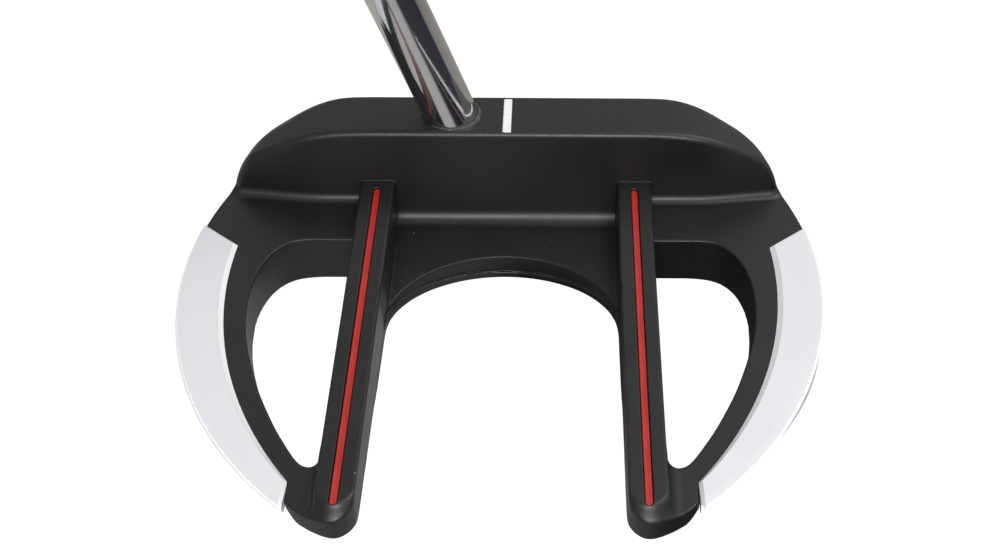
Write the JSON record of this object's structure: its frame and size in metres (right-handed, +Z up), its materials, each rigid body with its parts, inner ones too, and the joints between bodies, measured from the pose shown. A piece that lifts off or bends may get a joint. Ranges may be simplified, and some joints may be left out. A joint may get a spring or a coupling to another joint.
{
  "type": "mallet putter",
  "caption": "Right-handed mallet putter: black cast head with open wings and sight rails, white wing caps, chrome stepped shaft and paddle grip.",
  "frame": {"origin": "on the sole plane and the head's centreline, near the middle of the sole's flat strip, 8 mm behind the leading edge of the strike face", "axes": "+X towards the toe, +Y towards the target (out of the strike face), +Z up from the sole; the shaft leans towards -X at a lie of 71 degrees"},
  "size_m": [0.3588, 0.0958, 0.8438],
  "materials": {
    "satin_black_paint": "satin black paint over a zinc alloy casting, fine grain",
    "white_cap": "smooth white, low gloss",
    "clear_bond": "cured adhesive film, hidden",
    "red_paint_fill": "enamel paint fill, semi-gloss",
    "white_paint_fill": "enamel paint fill, semi-gloss",
    "chrome_steel": "polished chrome plate on steel tube",
    "grey_epoxy": "cured epoxy, dull grey-green",
    "black_rubber": "matt moulded grip rubber",
    "grip_tape": "double-sided paper tape, hidden",
    "butt_rubber": "matt hard rubber cap"
  },
  "bodies": {
    "root": {"head_body": "satin_black_paint", "wing_cap_toe": "white_cap", "wing_cap_heel": "white_cap", "cap_adhesive_toe": "clear_bond", "cap_adhesive_heel": "clear_bond", "sight_line_toe": "red_paint_fill", "sight_line_heel": "red_paint_fill", "alignment_mark": "white_paint_fill", "shaft": "chrome_steel", "shaft_epoxy": "grey_epoxy", "grip": "black_rubber", "grip_tape": "grip_tape", "grip_cap": "butt_rubber"}
  },
  "joints": []
}
